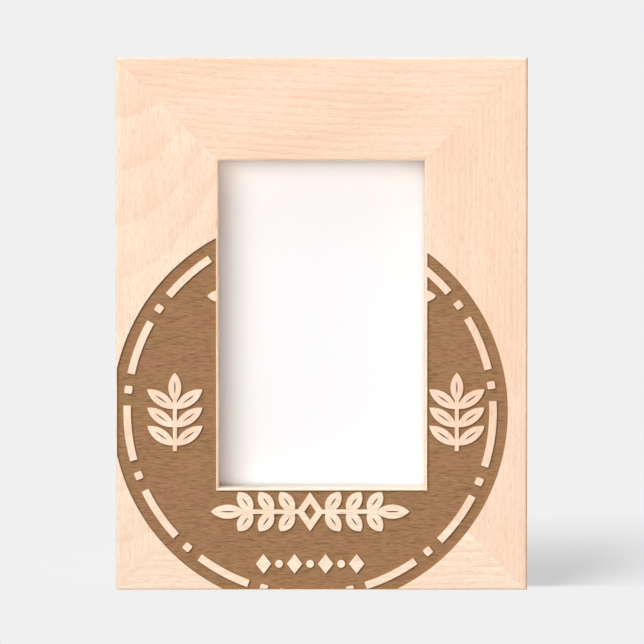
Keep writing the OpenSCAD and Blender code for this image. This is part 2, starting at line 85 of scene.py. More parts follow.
joints = {joint["name"]: joint for joint in frame["joints"]}
screw_axis = Vector(joints["button_left_lower_turn"]["axis"])
LEAN = math.atan2(-screw_axis.z, screw_axis.y)
STAND_UP = Matrix.Rotation(LEAN, 3, "X")
LEAN_BACK = STAND_UP.transposed()
rail_points = [STAND_UP @ v.co / MM for name in RAILS for v in frame["nodes"][name].data.vertices]
FACE_Y = min(point.y for point in rail_points)
BACK_Y = max(point.y for point in rail_points)
LOWER_Z = min(point.z for point in rail_points)
OUTER_H = max(point.z for point in rail_points) - LOWER_Z
OUTER_W = 2 * max(point.x for point in rail_points)


def linear(code):
    """An sRGB hex colour as the linear values that a shader takes."""
    shares = [int(code[i:i + 2], 16) / 255 for i in (1, 3, 5)]
    return [*(s / 12.92 if s <= 0.04045 else ((s + 0.055) / 1.055) ** 2.4 for s in shares), 1.0]


def add(tree, kind, inputs=None, out=0, **settings):
    """Adds a node with its settings, gives each input a value or a link, and returns one of its outputs."""
    made = tree.nodes.new("ShaderNode" + kind)
    for name, value in settings.items():
        setattr(made, name, value)
    for name, value in (inputs or {}).items():
        if isinstance(value, bpy.types.NodeSocket):
            tree.links.new(value, made.inputs[name])
        else:
            made.inputs[name].default_value = value
    return made.outputs[out] if made.outputs else made


def span(limits, most=1.0):
    """The limits of a Map Range node that gives 0 at the first and most at the second."""
    return {"From Min": limits[0], "From Max": limits[1], "To Max": most}


def per_mm(size):
    """How often a pattern of a size in millimetres repeats in each millimetre."""
    return [1 / side for side in size]


def layered(tree, base, *layers):
    """A colour with several others laid over it in turn, each by its share. A Mix node's colours are its
    inputs 6 and 7 and its output 2."""
    colour = linear(base)
    for tint, share in layers:
        colour = add(tree, "Mix", {0: share, 6: colour, 7: linear(tint)}, out=2, data_type="RGBA")
    return colour


def empty_material(name):
    """A new material with no nodes, and its tree."""
    made = bpy.data.materials.new(name)
    made.use_nodes = True
    made.node_tree.nodes.clear()
    return made, made.node_tree


def dress(material, *names):
    """Gives CAD nodes their finish."""
    for name in names:
        mesh = frame["nodes"][name].data
        mesh.materials.clear()
        mesh.materials.append(material)


def flat_place(tree, turn, origin):
    """Millimetres in a piece's own axes: turned about X by turn, from a point given in the turned axes."""
    at = add(tree, "TexCoord", out="Object")
    return add(tree, "Mapping", {
        "Vector": at,
        "Scale": (1 / MM, 1 / MM, 1 / MM),
        "Rotation": (turn, 0, 0),
        "Location": [-value for value in origin],
    })


# Bare beech from the sander is pale, pinkish and matt, with darker ray flecks along the grain, about 2.5 mm
# long and 0.2 mm wide. Pattern sizes are along the grain, into the wood and across the grain, and a fleck
# fades inside its cell.
BEECH_RING = "#F0C3A1"
BEECH_STREAK = "#EBBF9D"
BEECH_FLECK = "#CFA37E"
MITRE_LINE = "#D8A988"
SEED_STEP = (173, 19, 61)
FIBRE_MM = (4, 1, 0.35)
FIBRE_NOISE = (0.45, 0.75)
FIBRE_SHARE = 0.5
PATCH_MM = (60, 30, 14)
PATCH_NOISE = (0.32, 0.68)
STREAK_MM = (16, 3, 0.9)
STREAK_NOISE = (0.42, 0.75)
STREAK_SHARE = 0.3
RING_SWAYS = (((45, 30, 9), 4.2), ((11, 10, 2.6), 0.7))
RING_RISE = 0.05
RING_LEAST = 0.4
FEATHER = 3.0
FLECK_MM = (4.4, 0.7, 0.4)
FLECK_FADE = (0.42, 0.12)
FLECK_CHANCE = (0.5, 0.95)
FLECK_SHARE = 0.52
ROW_SHIFT = 7.0
MITRE_FADE = (0.35, 0.1)
MITRE_SHARE = 0.12


def ray_marks(tree, place, size, channel, fade, chosen, most):
    """Short marks along the grain, one in each cell of a size. Each row of cells is shifted by chance, so
    that no two rows line up. A cell's own chance, in the chosen range, gives its mark's strength."""
    cells = add(tree, "VectorMath", {0: place, 1: per_mm(size)}, operation="MULTIPLY")
    row = add(tree, "SeparateXYZ", {0: cells}, out="Z")
    row = add(tree, "Math", {0: row}, operation="FLOOR")
    along = add(tree, "TexWhiteNoise", {"W": row}, noise_dimensions="1D")
    along = add(tree, "Math", {0: along, 1: ROW_SHIFT}, operation="MULTIPLY")
    along = add(tree, "CombineXYZ", {0: along})
    cells = add(tree, "VectorMath", {0: cells, 1: along}, operation="ADD")
    off_centre = add(tree, "TexVoronoi", {"Vector": cells, "Scale": 1.0, "Randomness": 1.0})
    chance = add(tree, "SeparateColor", {0: off_centre.node.outputs["Color"]}, out=channel)
    chance = add(tree, "MapRange", {"Value": chance, **span(chosen, most)})
    mark = add(tree, "MapRange", {"Value": off_centre, **span(fade)}, interpolation_type="SMOOTHSTEP")
    return add(tree, "Math", {0: mark, 1: chance}, operation="MULTIPLY")


def growth_rings(tree, grain, own, fibre, level_line, level_bow, pitch, sharpness):
    """Rings are lines of one level, a pitch apart, that wander a little. level_line gives the level from the
    place in the grain, and level_bow from its squares. A ring is dark at its start and fades, and fibres
    feather its edge along the grain."""
    squares = add(tree, "VectorMath", {0: grain, 1: grain}, operation="MULTIPLY")
    straight = add(tree, "VectorMath", {0: grain, 1: level_line}, out="Value", operation="DOT_PRODUCT")
    bowed = add(tree, "VectorMath", {0: squares, 1: level_bow}, out="Value", operation="DOT_PRODUCT")
    level = add(tree, "Math", {0: straight, 1: bowed}, operation="ADD")
    for size, sway in RING_SWAYS:
        wander = add(tree, "VectorMath", {0: own, 1: per_mm(size)}, operation="MULTIPLY")
        wander = add(tree, "TexNoise", {"Vector": wander, "Scale": 1.0, "Detail": 3.0, "Roughness": 0.45})
        level = add(tree, "Math", {0: wander, 1: sway, 2: level}, operation="MULTIPLY_ADD")
    level = add(tree, "Math", {0: fibre, 1: FEATHER * level_line[0], 2: level}, operation="MULTIPLY_ADD")
    level = add(tree, "Math", {0: level, 1: pitch}, operation="DIVIDE")
    share = add(tree, "Math", {0: level}, operation="FRACT")
    fading = add(tree, "Math", {0: 1.0, 1: share}, operation="SUBTRACT")
    fading = add(tree, "Math", {0: fading, 1: sharpness}, operation="POWER")
    rising = add(tree, "MapRange", {"Value": share, **span((0.0, RING_RISE))})
    return add(tree, "Math", {0: fading, 1: rising}, operation="MULTIPLY")


def bare_beech(tree, grain, own, off_mitre, tones, strength, **rings):
    """The colour of sanded beech, and its fibres and flecks. Its rings are fainter in some patches."""
    fibre = add(tree, "VectorMath", {0: own, 1: per_mm(FIBRE_MM)}, operation="MULTIPLY")
    fibre = add(tree, "TexNoise", {"Vector": fibre, "Scale": 1.0, "Detail": 2.0})
    fibre_share = add(tree, "MapRange", {"Value": fibre, **span(FIBRE_NOISE, FIBRE_SHARE)})
    patch = add(tree, "VectorMath", {0: own, 1: per_mm(PATCH_MM)}, operation="MULTIPLY")
    patch = add(tree, "TexNoise", {"Vector": patch, "Scale": 1.0, "Detail": 2.0})
    patch = add(tree, "MapRange", {"Value": patch, **span(PATCH_NOISE)}, interpolation_type="SMOOTHSTEP")
    ring = growth_rings(tree, grain, own, fibre, **rings)
    ring_share = add(tree, "MapRange", {"Value": patch, "To Min": RING_LEAST * strength, "To Max": strength})
    ring = add(tree, "Math", {0: ring, 1: ring_share}, operation="MULTIPLY")
    streak = add(tree, "VectorMath", {0: own, 1: per_mm(STREAK_MM)}, operation="MULTIPLY")
    streak = add(tree, "TexNoise", {"Vector": streak, "Scale": 1.0, "Detail": 2.0})
    streak = add(tree, "MapRange", {"Value": streak, **span(STREAK_NOISE, STREAK_SHARE)})
    fleck = ray_marks(tree, own, FLECK_MM, "Red", FLECK_FADE, FLECK_CHANCE, 1.0)
    fleck_share = add(tree, "Math", {0: fleck, 1: FLECK_SHARE}, operation="MULTIPLY")
    mitre = add(tree, "MapRange", {"Value": off_mitre, **span(MITRE_FADE, MITRE_SHARE)})
    colour = layered(
        tree, tones[0], (tones[1], patch), (BEECH_RING, ring), (BEECH_STREAK, streak),
        (BEECH_STREAK, fibre_share), (BEECH_FLECK, fleck_share), (MITRE_LINE, mitre),
    )
    return colour, fibre, fleck


# The laser turns beech an even mid brown, in which rays stay as darker dashes along the laser's lines. On
# the burnt floor, painted shadow darkens the foot of walls that stand to its upper left, toward the light,
# and a warmer, lighter painted glow of light bounced off the lit walls lies at the foot of those on its
# lower right. Pattern sizes are along X, Y and Z.
BURNT = "#A37C55"
BURNT_RED = "#A67A58"
BURNT_LIGHT = "#AA8760"
BURNT_DEEP = "#7A593A"
BURNT_DASH = "#573A20"
BURNT_WALL = "#7C5636"
PAINTED_SHADOW = "#563B25"
SHADOW_REACH_MM = 0.9
SHADOW_FULL_AT = 0.5
SHADOW_SHARE = 0.85
PAINTED_BOUNCE = "#B9814F"
BOUNCE_REACH_MM = 2.0
BOUNCE_FULL_AT = 0.45
BOUNCE_SHARE = 0.6
TOWARD_LIGHT = LEAN_BACK @ Vector((-0.66, -0.35, 0.66))
AWAY_FROM_LIGHT = LEAN_BACK @ Vector((0.66, -0.35, -0.66))
MITRE_CLEARANCE = (1.3, 1.6)
SMOKE_MM = (14, 1, 6)
SMOKE_NOISE = (0.4, 0.62)
LASER_LINE_MM = (3.5, 1, 0.4)
PALE_LINE_NOISE = (0.5, 0.3)
PALE_LINE_SHARE = 0.8
DARK_LINE_NOISE = (0.5, 0.75)
DARK_LINE_SHARE = 0.9
DASH_MM = (4.8, 1.0, 0.55)
DASH_FADE = (0.44, 0.16)
DASH_CHANCE = (0.5, 0.9)
DASH_SHARE = 0.8
BURN_STARTS = (0.04, 0.22)
WALL_DEPTHS = (0.58, 0.45)
WALL_SHARE = 0.9


def edge_distances(tree, place):
    """How far a place is from the nearest mitre, along the rail, and from the nearest outer edge."""
    middle = (0, 0, OUTER_H / 2)
    corner = (OUTER_W / 2, 0, OUTER_H / 2)
    from_middle = add(tree, "VectorMath", {0: place, 1: middle}, operation="SUBTRACT")
    from_middle = add(tree, "VectorMath", {0: from_middle}, operation="ABSOLUTE")
    to_edges = add(tree, "VectorMath", {0: corner, 1: from_middle}, operation="SUBTRACT")
    side_gap = add(tree, "SeparateXYZ", {0: to_edges}, out="X")
    end_gap = side_gap.node.outputs["Z"]
    off_mitre = add(tree, "Math", {0: side_gap, 1: end_gap}, operation="SUBTRACT")
    off_mitre = add(tree, "Math", {0: off_mitre}, operation="ABSOLUTE")
    return off_mitre, add(tree, "Math", {0: side_gap, 1: end_gap}, operation="MINIMUM")


def burnt_share(tree, place, depth, to_edge):
    """1 on the burnt floor and walls, below the face and inside the disc. 0 on the face, the outer rim and
    the window's edge."""
    on_face = add(tree, "VectorMath", {0: place, 1: (1, 0, 1)}, operation="MULTIPLY")
    disc_middle = (DISC_X, 0, DISC_Z)
    from_disc = add(tree, "VectorMath", {0: on_face, 1: disc_middle}, out="Value", operation="DISTANCE")
    burn = add(tree, "MapRange", {"Value": depth, **span(BURN_STARTS)}, interpolation_type="SMOOTHSTEP")
    for distance, limit, side in (
        (from_disc, DISC_R + WELL_PAST, "LESS_THAN"),
        (depth, BURN_D + WELL_PAST, "LESS_THAN"),
        (to_edge, BURN_RIM - JUST_INSIDE, "GREATER_THAN"),
        (to_edge, RAIL_W - EASE - BURN_INSET + JUST_INSIDE, "LESS_THAN"),
    ):
        inside = add(tree, "Math", {0: distance, 1: limit}, operation=side)
        burn = add(tree, "Math", {0: burn, 1: inside}, operation="MULTIPLY")
    return burn


def burnt_beech(tree, place, depth, off_mitre):
    """The colour of laser-burnt beech and the laser's lines, with painted shadow and painted bounced light
    at the foot of the relief's walls. These stay clear of the mitres, where the rail's own end would count
    as a wall."""
    smoke = add(tree, "VectorMath", {0: place, 1: per_mm(SMOKE_MM)}, operation="MULTIPLY")
    smoke = add(tree, "TexNoise", {"Vector": smoke, "Scale": 1.0, "Detail": 3.0})
    smoke = add(tree, "MapRange", {"Value": smoke, **span(SMOKE_NOISE)}, interpolation_type="SMOOTHSTEP")
    line = add(tree, "VectorMath", {0: place, 1: per_mm(LASER_LINE_MM)}, operation="MULTIPLY")
    line = add(tree, "TexNoise", {"Vector": line, "Scale": 1.0, "Detail": 3.0})
    pale_line = add(tree, "MapRange", {"Value": line, **span(PALE_LINE_NOISE, PALE_LINE_SHARE)})
    dark_line = add(tree, "MapRange", {"Value": line, **span(DARK_LINE_NOISE, DARK_LINE_SHARE)})
    dash = ray_marks(tree, place, DASH_MM, "Green", DASH_FADE, DASH_CHANCE, DASH_SHARE)
    painted_light_and_shade = []
    # Painted shadow beside walls toward the light, and painted warm bounced light beside walls away from it
    for tint, direction, distance, full, most in (
        (PAINTED_BOUNCE, AWAY_FROM_LIGHT, BOUNCE_REACH_MM, BOUNCE_FULL_AT, BOUNCE_SHARE),
        (PAINTED_SHADOW, TOWARD_LIGHT, SHADOW_REACH_MM, SHADOW_FULL_AT, SHADOW_SHARE),
    ):
        facing = add(tree, "CombineXYZ", {0: direction.x, 1: direction.y, 2: direction.z})
        reach = {"Distance": distance * MM, "Normal": facing}
        open_share = add(tree, "AmbientOcclusion", reach, out="AO", samples=6, only_local=True)
        painted_share = add(tree, "MapRange", {"Value": open_share, **span((1.0, full))})
        clearance = [times * distance for times in MITRE_CLEARANCE]
        clear = add(tree, "MapRange", {"Value": off_mitre, **span(clearance)})
        painted_share = add(tree, "Math", {0: painted_share, 1: clear}, operation="MULTIPLY")
        painted_light_and_shade.append((tint, add(tree, "Math", {0: painted_share, 1: most}, operation="MULTIPLY")))
    on_wall = add(tree, "MapRange", {"Value": depth, **span(WALL_DEPTHS, WALL_SHARE)})
    colour = layered(
        tree, BURNT, (BURNT_RED, smoke), (BURNT_LIGHT, pale_line), (BURNT_DEEP, dark_line),
        (BURNT_DASH, dash), *painted_light_and_shade, (BURNT_WALL, on_wall),
    )
    return colour, line


# A sander leaves beech smoother than a laser does. Rays are faint dips in it, and fibres and lines stand up.
BARE_ROUGHNESS = 0.62
BURNT_ROUGHNESS = 0.85
FLECK_RELIEF = -0.6
LASER_LINE_RELIEF = 2.0
WOOD_RELIEF_MM = 0.03


def beech(name, upright, seed, **wood):
    """One rail's beech. Its grain runs along the rail, and the seed picks its own part of each pattern."""
    material, tree = empty_material(name)
    place = flat_place(tree, LEAN, (0, FACE_Y, LOWER_Z))
    grain_turn = math.pi / 2 if upright else 0
    grain = add(tree, "Mapping", {"Vector": place, "Rotation": (0, grain_turn, 0)})
    own = add(tree, "VectorMath", {0: grain, 1: [seed * step for step in SEED_STEP]}, operation="ADD")
    depth = add(tree, "SeparateXYZ", {0: place}, out="Y")
    off_mitre, to_edge = edge_distances(tree, place)
    bare, fibre, fleck = bare_beech(tree, grain, own, off_mitre, **wood)
    burnt, line = burnt_beech(tree, place, depth, off_mitre)
    burn = burnt_share(tree, place, depth, to_edge)
    colour = add(tree, "Mix", {0: burn, 6: bare, 7: burnt}, out=2, data_type="RGBA")
    roughness = add(tree, "MapRange", {"Value": burn, "To Min": BARE_ROUGHNESS, "To Max": BURNT_ROUGHNESS})

    # A Mix node's plain numbers are its inputs 2 and 3
    dips = add(tree, "Math", {0: fleck, 1: FLECK_RELIEF, 2: fibre}, operation="MULTIPLY_ADD")
    scorch = add(tree, "Math", {0: line, 1: LASER_LINE_RELIEF, 2: dips}, operation="MULTIPLY_ADD")
    height = add(tree, "Mix", {0: burn, 2: dips, 3: scorch}, data_type="FLOAT")
    bump = add(tree, "Bump", {"Height": height, "Strength": 0.6, "Distance": WOOD_RELIEF_MM * MM})
    shader = add(tree, "BsdfPrincipled", {
        "Base Color": colour, "Roughness": roughness, "Normal": bump, "Specular IOR Level": 0.2,
    })
    add(tree, "OutputMaterial", {"Surface": shader})
    return material


# Each rail is a board of its own: fine lines on top that slope and flatten out, straight ones on the right
# and below, and on the left a flat-sawn board whose rings open in wide arches from its outer edge
PINK = ("#FFE6CD", "#FDDEC3")
PALE = ("#FFEDD5", "#FEE5CB")
PALEST = ("#FFF2D9", "#FEEAD0")
ARCH = 0.0232
rail_woods = {
    "top_rail": dict(
        upright=False, seed=1, tones=PINK, level_line=(0.05, 0, 1), level_bow=(-0.0005, 0, 0),
        pitch=3.4, sharpness=2.6, strength=0.62,
    ),
    "bottom_rail": dict(
        upright=False, seed=2, tones=PALEST, level_line=(-0.03, 0, 1), level_bow=(0, 0, 0),
        pitch=3.4, sharpness=2.5, strength=0.35,
    ),
    "left_stile": dict(
        upright=True, seed=3, tones=PALE, level_line=(1, 0, ARCH * OUTER_W), level_bow=(0, 0, -ARCH),
        pitch=23.0, sharpness=2.2, strength=0.42,
    ),
    "right_stile": dict(
        upright=True, seed=4, tones=PINK, level_line=(0.012, 0, 1), level_bow=(0, 0, 0),
        pitch=2.6, sharpness=2.5, strength=0.4,
    ),
}
for name, wood in rail_woods.items():
    dress(beech("sanded_beech_" + name, **wood), name)

# V-nails, screws, rivets, pin and staples: drawn or stamped steel, bright zinc plated, a cool light grey
# with a faint mottled spangle. The fine lines of drawing and stamping are 0.25 mm wide here, coarser than
# they are, so that they show.
BRUSHED_MM = (4, 0.25, 0.25)
BRUSH_RELIEF_MM = 0.006
SMOOTHER_BY = 0.08
ROUGHER_BY = 0.1


def finish(tree, colour, relief, depth_mm, **sockets):
    """Ends a material with a bump of a real depth and the Principled shader."""
    bump = add(tree, "Bump", {"Height": relief, "Distance": depth_mm * MM})
    named = {name.replace("_", " "): value for name, value in sockets.items()}
    shader = add(tree, "BsdfPrincipled", {"Base Color": colour, "Normal": bump, **named})
    add(tree, "OutputMaterial", {"Surface": shader})


def plated_steel(name, plate, mottle, mottle_mm, roughness):
    """Plated steel with the fine unevenness of its plating."""
    material, tree = empty_material(name)
    place = flat_place(tree, LEAN, (0, BACK_Y, LOWER_Z))
    mottling = add(tree, "TexNoise", {"Vector": place, "Scale": 1 / mottle_mm, "Detail": 4.0})
    colour = add(tree, "Mix", {0: mottling, 6: linear(plate), 7: linear(mottle)}, out=2, data_type="RGBA")
    brushed = add(tree, "VectorMath", {0: place, 1: per_mm(BRUSHED_MM)}, operation="MULTIPLY")
    brushed = add(tree, "TexNoise", {"Vector": brushed, "Scale": 1.0, "Detail": 3.0})
    sheen = add(tree, "MapRange", {
        "Value": brushed, "To Min": roughness - SMOOTHER_BY, "To Max": roughness + ROUGHER_BY,
    })
    finish(tree, colour, brushed, BRUSH_RELIEF_MM, Metallic=1.0, Roughness=sheen)
    return material


zinc = plated_steel("zinc_plated_steel", plate="#C9CDD1", mottle="#AEB3B8", mottle_mm=1.6, roughness=0.32)
dress(zinc, "corner_v_nails", "turn_button_screws", "hinge_pin", "hinge_board_rivets", "hinge_leg_rivets")
dress(zinc, "board_staple", "leg_staple")

# Turn buttons: stamped from 1 mm steel strip, tumbled and nickel plated. Nickel is a warmer grey than zinc,
# and tumbling leaves it a little smoother.
nickel = plated_steel("nickel_plated_steel", plate="#CFCAC0", mottle="#B4AEA3", mottle_mm=2.5, roughness=0.3)
dress(nickel, "turn_button_left_lower", "turn_button_left_upper")
dress(nickel, "turn_button_right_lower", "turn_button_right_upper")

# Hinge leaves, sawtooth hangers and their nails: pressed steel with a thin bright brass plate, which is
# yellow and slightly duller in patches where it has been handled.
brass = plated_steel("brass_plated_steel", plate="#D5BE8E", mottle="#B59A66", mottle_mm=3.5, roughness=0.28)
dress(brass, "hinge_board_leaf", "hinge_leg_leaf", "sawtooth_hanger_top", "sawtooth_hanger_side")
dress(brass, "hanger_nails")

# Glass: one pane of 2 mm float glass, so clear that its tint hardly shows, which mirrors the room faintly.
# Rays from the lamps pass it straight, so that the print behind it is lit.
GLASS_TINT = "#FDFEFE"
material, tree = empty_material("clear_float_glass")
to_lamp = add(tree, "LightPath", out="Is Shadow Ray")
unseen = add(tree, "Math", {0: to_lamp, 1: to_lamp.node.outputs["Is Diffuse Ray"]}, operation="MAXIMUM")
pane = add(tree, "BsdfPrincipled", {
    "Base Color": linear(GLASS_TINT), "Roughness": 0.0, "IOR": 1.5, "Transmission Weight": 1.0,
})
passing = add(tree, "BsdfTransparent", {"Color": linear(GLASS_TINT)})
either = add(tree, "MixShader", {0: unseen, 1: pane, 2: passing})
add(tree, "OutputMaterial", {"Surface": either})
dress(material, "glass_pane")

# Print: the blank insert that such a frame is sold with, smooth matt white paper of about 250 g, with the
# faint cloudy formation that paper has. Its tooth is 0.4 mm here, coarser than it is, so that it shows.
PAPER = "#FDFCFD"
PAPER_CLOUD = "#F9F8FA"
CLOUD_MM = 5
TOOTH_MM = 0.4
TOOTH_RELIEF_MM = 0.01
material, tree = empty_material("matt_white_paper")
place = flat_place(tree, LEAN, (0, FACE_Y, LOWER_Z))
cloud = add(tree, "TexNoise", {"Vector": place, "Scale": 1 / CLOUD_MM, "Detail": 4.0})
colour = add(tree, "Mix", {0: cloud, 6: linear(PAPER), 7: linear(PAPER_CLOUD)}, out=2, data_type="RGBA")
tooth = add(tree, "TexNoise", {"Vector": place, "Scale": 1 / TOOTH_MM, "Detail": 3.0})
finish(tree, colour, tooth, TOOTH_RELIEF_MM, Roughness=0.8, Specular_IOR_Level=0.3)
dress(material, "photo_print")

# Filler card: 1.5 mm of unbleached greyboard between print and board, rough, with flecks of darker pulp.
CARD = "#9C8F7E"
CARD_DARK = "#7C6F60"
PULP_MM = 0.9
PULP_RELIEF_MM = 0.04
material, tree = empty_material("unbleached_greyboard")
place = flat_place(tree, LEAN, (0, FACE_Y, LOWER_Z))
pulp = add(tree, "TexNoise", {"Vector": place, "Scale": 1 / PULP_MM, "Detail": 5.0})
colour = add(tree, "Mix", {0: pulp, 6: linear(CARD), 7: linear(CARD_DARK)}, out=2, data_type="RGBA")
finish(tree, colour, pulp, PULP_RELIEF_MM, Roughness=0.9, Specular_IOR_Level=0.2)
dress(material, "filler_card")

# Back board and easel leg: 3 mm hardboard faced on both sides with black paper, and die cut, so that the
# brown fibres show on the cut edges. The facing is matt, lightly pebbled by the press, and rubbed greyer in
# places.
BOARD_T = 3.0
FACING_T = 0.22
FACING = "#262424"
FACING_WORN = "#383534"
WEAR_MM = 14
WEAR_NOISE = (0.42, 0.72)
WEAR_SHARE = 0.6
FIBRE = "#6B4E36"
FIBRE_DARK = "#4A3423"
LAYER_MM = (1.5, 0.3, 1.5)
PEBBLE_MM = 0.8
PAPER_FUZZ_MM = 0.25
PAPER_FUZZ_SHARE = 0.5
FACING_RELIEF_MM = 0.05


def faced_hardboard(name, turn, origin):
    """Hardboard whose faces are square to Y in the turned axes, with the outer face at origin."""
    material, tree = empty_material(name)
    place = flat_place(tree, turn, origin)
    inward = add(tree, "SeparateXYZ", {0: place}, out="Y")
    off_middle = add(tree, "Math", {0: inward, 1: BOARD_T / 2}, operation="ADD")
    off_middle = add(tree, "Math", {0: off_middle}, operation="ABSOLUTE")
    cut_edge = add(tree, "Math", {0: off_middle, 1: BOARD_T / 2 - FACING_T}, operation="LESS_THAN")
    wear = add(tree, "TexNoise", {
        "Vector": place, "Scale": 1 / WEAR_MM, "Detail": 6.0, "Roughness": 0.65,
    })
    wear = add(tree, "MapRange", {"Value": wear, **span(WEAR_NOISE, WEAR_SHARE)})
    facing = add(tree, "Mix", {0: wear, 6: linear(FACING), 7: linear(FACING_WORN)}, out=2, data_type="RGBA")
    layers = add(tree, "VectorMath", {0: place, 1: per_mm(LAYER_MM)}, operation="MULTIPLY")
    layers = add(tree, "TexNoise", {"Vector": layers, "Scale": 1.0, "Detail": 4.0})
    core = add(tree, "Mix", {0: layers, 6: linear(FIBRE), 7: linear(FIBRE_DARK)}, out=2, data_type="RGBA")
    colour = add(tree, "Mix", {0: cut_edge, 6: facing, 7: core}, out=2, data_type="RGBA")
    pebbles = add(tree, "TexVoronoi", {
        "Vector": place, "Scale": 1 / PEBBLE_MM, "Smoothness": 0.6,
    }, feature="SMOOTH_F1")
    fuzz = add(tree, "TexNoise", {"Vector": place, "Scale": 1 / PAPER_FUZZ_MM, "Detail": 3.0})
    relief = add(tree, "Math", {0: fuzz, 1: PAPER_FUZZ_SHARE, 2: pebbles}, operation="MULTIPLY_ADD")
    finish(tree, colour, relief, FACING_RELIEF_MM, Roughness=0.72, Specular_IOR_Level=0.35)
    return material


OPENING = math.radians(26)
pin = Vector(joints["leg_fold"]["pos_m"])
leg_turn = LEAN - OPENING
LEG_TILT = Matrix.Rotation(leg_turn, 3, "X")
leg_points = [LEG_TILT @ v.co / MM for v in frame["nodes"]["easel_leg"].data.vertices]
leg_outer_y = max(point.y for point in leg_points)
dress(faced_hardboard("black_faced_back_board", LEAN, (0, BACK_Y, LOWER_Z)), "back_board")
dress(faced_hardboard("black_faced_easel_leg", leg_turn, (0, leg_outer_y, 0)), "easel_leg")

# Stay ribbon: 10 mm black grosgrain with woven edges, stapled to the board and to the leg, and pulled
# straight when the leg is fully open. Modelled as one strip that turns sharply at each staple's flat end.
RIBBON_T = 0.3
RIBBON_TAB = 10.0
RIBBON_TURN_R = 0.45
RIBBON_STEP = 0.5
TURN_STEPS = 8
WIDTH_STEPS = 20
MERGE_MM = 0.001
ribbon_low, ribbon_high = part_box("stay_ribbon")
RIBBON_W = round((ribbon_high.x - ribbon_low.x) / MM, 2)
ribbon_points = [STAND_UP @ v.co / MM for v in frame["nodes"]["stay_ribbon"].data.vertices]
pin_up = STAND_UP @ pin / MM
tab_top = max(point.z for point in ribbon_points)
ribbon_run = pin_up.z - (tab_top - RIBBON_TAB)
leg_inner_y = min(point.y for point in leg_points) - (LEG_TILT @ pin / MM).y


def on_open_leg(y, z):
    """A point given from the pin along the folded leg, as it stands upright with the leg open."""
    return pin_up + Matrix.Rotation(OPENING, 3, "X") @ Vector((0, y, z))


corners = [
    Vector((0, BACK_Y + RIBBON_T / 2, tab_top)),
    Vector((0, BACK_Y + RIBBON_T / 2, tab_top - RIBBON_TAB)),
    on_open_leg(leg_inner_y - RIBBON_T / 2, -ribbon_run),
    on_open_leg(leg_inner_y - RIBBON_T / 2, -ribbon_run - RIBBON_TAB),
]

# The strip starts as a row of edges across the ribbon, which is drawn out along each run and spun round each
# turn. A turn takes the same reach from the runs on both sides of it.
shape = bmesh.new()
uv_layer = shape.loops.layers.uv.new("weave")
bmesh.ops.create_grid(shape, x_segments=WIDTH_STEPS, y_segments=1, size=RIBBON_W / 2)
bmesh.ops.delete(shape, geom=[v for v in shape.verts if v.co.y > 0], context="VERTS")
for vertex in shape.verts:
    vertex.co = Vector((vertex.co.x, 0, 0)) + corners[0]
front = list(shape.edges)
turns = []
for i in (1, 2):
    before = (corners[i] - corners[i - 1]).normalized()
    after = (corners[i + 1] - corners[i]).normalized()
    angle = math.atan2(before.y * after.z - before.z * after.y, before.dot(after))
    turns.append((angle, RIBBON_TURN_R * math.tan(abs(angle) / 2)))
run_ends = [0.0, *(reach for angle, reach in turns), 0.0]
for i in range(3):
    heading = corners[i + 1] - corners[i]
    length = heading.length - run_ends[i] - run_ends[i + 1]
    heading.normalize()
    steps = math.ceil(length / RIBBON_STEP)
    for step in range(steps):
        grown = bmesh.ops.extrude_edge_only(shape, edges=front)["geom"]
        front = [part for part in grown if isinstance(part, bmesh.types.BMEdge)]
        moved = [part for part in grown if isinstance(part, bmesh.types.BMVert)]
        bmesh.ops.translate(shape, verts=moved, vec=heading * length / steps)
    if i < 2:
        angle, reach = turns[i]
        side = Vector((0, -heading.z, heading.y)) * (1 if angle > 0 else -1)
        centre = corners[i + 1] - heading * reach + side * RIBBON_TURN_R
        spun = bmesh.ops.spin(
            shape, geom=front, cent=centre, axis=(1, 0, 0), angle=angle, steps=TURN_STEPS, use_merge=False,
        )["geom_last"]
        front = [part for part in spun if isinstance(part, bmesh.types.BMEdge)]
bmesh.ops.remove_doubles(shape, verts=shape.verts, dist=MERGE_MM)
bmesh.ops.recalc_face_normals(shape, faces=shape.faces)

# The weave follows the strip, so each row of points across it knows its distance along the ribbon
start = [v for v in shape.verts if (Vector((0, v.co.y, v.co.z)) - corners[0]).length < MERGE_MM]
reached = {v: 0.0 for v in start}
queue = list(start)
while queue:
    vertex = queue.pop(0)
    for edge in vertex.link_edges:
        other = edge.other_vert(vertex)
        if other not in reached:
            across = abs(other.co.x - vertex.co.x) > MERGE_MM
            reached[other] = reached[vertex] + (0.0 if across else edge.calc_length())
            queue.append(other)
for face in shape.faces:
    for loop in face.loops:
        loop[uv_layer].uv = (reached[loop.vert], loop.vert.co.x)
for vertex in shape.verts:
    vertex.co = LEAN_BACK @ vertex.co * MM
ribbon_mesh = bpy.data.meshes.new("woven_stay_ribbon")
shape.to_mesh(ribbon_mesh)
shape.free()
ribbon = bpy.data.objects.new("woven_stay_ribbon", ribbon_mesh)
bpy.context.scene.collection.objects.link(ribbon)
thick = ribbon.modifiers.new("cloth thickness", "SOLIDIFY")
thick.thickness = RIBBON_T * MM
thick.offset = 0.0

